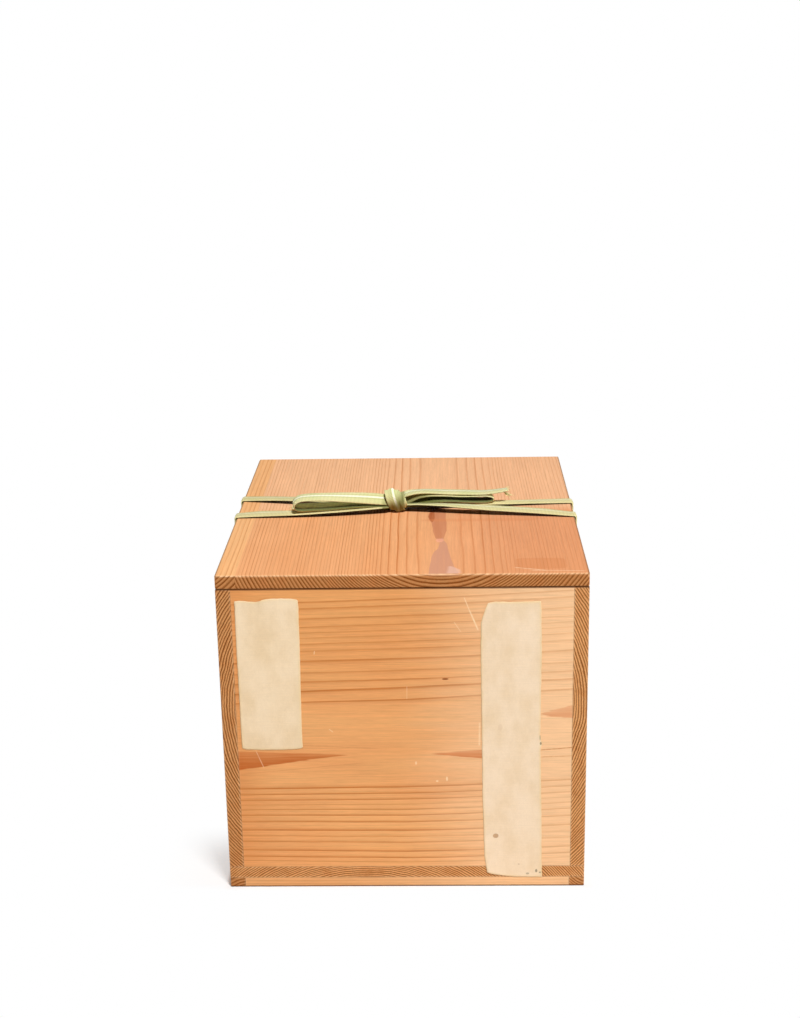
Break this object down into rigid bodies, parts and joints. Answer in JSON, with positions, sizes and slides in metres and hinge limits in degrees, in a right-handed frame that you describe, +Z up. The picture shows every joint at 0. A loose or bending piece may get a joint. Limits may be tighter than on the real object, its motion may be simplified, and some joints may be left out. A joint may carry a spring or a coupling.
{
  "type": "wooden storage box",
  "caption": "Deep cedar storage box with a lift-off lid, low foot frame, two paper labels and a flat woven cord tied round it in a bow.",
  "frame": {"origin": "under the middle of the box, on the surface that its foot frame stands on", "axes": "+Z up, +X to the right seen from the front, -Y towards the front with the two paper labels"},
  "size_m": [0.2884, 0.3303, 0.2871],
  "materials": {
    "box_cedar": "planed bare cedar, aged yellow-orange, straight fine grain",
    "lid_cedar": "planed bare cedar, aged salmon-brown on top",
    "peg_wood": "split hardwood pegs, cut flush",
    "paper": "aged handmade paper, pasted flat",
    "cord": "flat woven cotton cord, pale green with a cream stripe"
  },
  "bodies": {
    "box": {"front_board": "box_cedar", "back_board": "box_cedar", "left_side_board": "box_cedar", "right_side_board": "box_cedar", "bottom_board": "box_cedar", "front_foot_rail": "box_cedar", "back_foot_rail": "box_cedar", "left_foot_rail": "box_cedar", "right_foot_rail": "box_cedar", "left_corner_pegs": "peg_wood", "right_corner_pegs": "peg_wood", "bottom_board_pegs": "peg_wood", "foot_rail_pegs": "peg_wood", "left_paper_label": "paper", "right_paper_label": "paper", "front_under_run": "cord", "rear_under_run": "cord", "left_front_side_run": "cord", "left_rear_side_run": "cord", "right_front_side_run": "cord", "right_rear_side_run": "cord"},
    "lid": {"lid_main_board": "lid_cedar", "lid_edge_strip": "lid_cedar", "lid_front_batten": "box_cedar", "lid_back_batten": "box_cedar", "lid_left_batten": "box_cedar", "lid_right_batten": "box_cedar", "lid_batten_pegs": "peg_wood", "cord_knot": "cord", "left_bow_loop": "cord", "right_bow_loop": "cord", "left_cord_end": "cord", "right_cord_end": "cord", "left_front_lid_run": "cord", "left_rear_lid_run": "cord", "right_front_lid_run": "cord", "right_rear_lid_run": "cord"}
  },
  "joints": [
    {"name": "lid_lift", "type": "slide", "parent": "box", "child": "lid", "axis": [0, 0, 1], "range_m": [0, 0.06], "deforming": ["left_front_side_run", "left_rear_side_run", "right_front_side_run", "right_rear_side_run"]}
  ]
}
